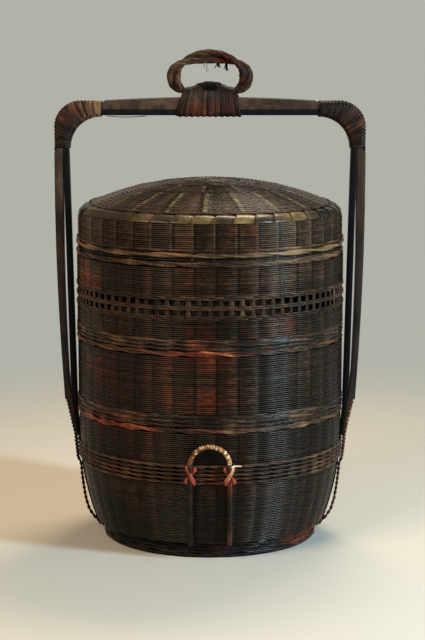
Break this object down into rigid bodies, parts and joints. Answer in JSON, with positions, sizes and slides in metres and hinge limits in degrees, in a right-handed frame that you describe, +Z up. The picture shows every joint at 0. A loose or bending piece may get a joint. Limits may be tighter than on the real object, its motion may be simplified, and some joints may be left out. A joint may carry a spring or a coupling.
{
  "type": "tiered bamboo food basket",
  "caption": "Round woven bamboo basket of stacked tiers with a domed lid, held in a tall bent bamboo handle with a rattan carrying ring.",
  "frame": {"origin": "centre of the bounding box on the surface the foot stands on, which is on the axis of the stacked tiers", "axes": "+Z up along the axis of the tiers, X along the handle's bar, -Y towards the front loop"},
  "size_m": [0.451, 0.4124, 0.7109],
  "materials": {
    "dark_weave": "dark lacquered bamboo weave, satin",
    "tan_weave": "bare bamboo weave, matt",
    "red_cane": "red-brown lacquered cane, satin",
    "tan_cane": "pale worn cane, satin",
    "dark_rattan": "dark red-brown rattan, satin",
    "brown_bamboo": "aged brown bamboo slat, satin",
    "black_bamboo": "blackened bamboo slat, satin"
  },
  "bodies": {
    "cradle": {"foot_hoop": "dark_rattan", "bottom_tier_wall": "dark_weave", "bottom_tier_floor": "tan_weave", "bottom_floor_batten_left": "brown_bamboo", "bottom_floor_batten_right": "brown_bamboo", "bottom_tier_rim_cord": "red_cane", "bottom_tier_lip_hoop": "brown_bamboo", "waling_band": "red_cane", "handle_outer_bow": "brown_bamboo", "handle_inner_bow": "black_bamboo", "corner_binding_left": "red_cane", "corner_binding_right": "red_cane", "carrying_ring": "dark_rattan", "ring_saddle": "black_bamboo", "ring_binding": "red_cane", "side_rib_left": "tan_cane", "side_rib_right": "tan_cane", "front_loop": "tan_cane", "back_loop": "tan_cane", "front_lashing_left": "red_cane", "front_lashing_right": "red_cane", "back_lashing_left": "red_cane", "back_lashing_right": "red_cane"},
    "middle_tier": {"middle_tier_wall": "dark_weave", "middle_tier_base_cord": "red_cane", "middle_tier_rim_cord": "red_cane", "middle_tier_lip_hoop": "brown_bamboo", "middle_tier_floor": "tan_weave", "middle_tier_floor_hoop": "brown_bamboo", "middle_floor_batten_left": "brown_bamboo", "middle_floor_batten_right": "brown_bamboo"},
    "upper_tier": {"upper_tier_wall": "dark_weave", "upper_tier_window_cord": "red_cane", "upper_tier_base_cord": "red_cane", "upper_tier_rim_cord": "red_cane", "upper_tier_lip_hoop": "brown_bamboo", "upper_tier_floor": "tan_weave", "upper_tier_floor_hoop": "brown_bamboo", "upper_floor_batten_left": "brown_bamboo", "upper_floor_batten_right": "brown_bamboo"},
    "lid": {"lid_skirt": "dark_weave", "lid_crown": "dark_weave", "lid_rim_cord": "red_cane", "lid_border_cord": "red_cane", "lid_ledge_cord": "dark_rattan"}
  },
  "joints": [
    {"name": "middle_tier_lift", "type": "slide", "parent": "cradle", "child": "middle_tier", "axis": [0, 0, 1], "range_m": [0, 0.028]},
    {"name": "upper_tier_lift", "type": "slide", "parent": "middle_tier", "child": "upper_tier", "axis": [0, 0, 1], "range_m": [0, 0.028]},
    {"name": "lid_lift", "type": "slide", "parent": "upper_tier", "child": "lid", "axis": [0, 0, 1], "range_m": [0, 0.028]}
  ]
}
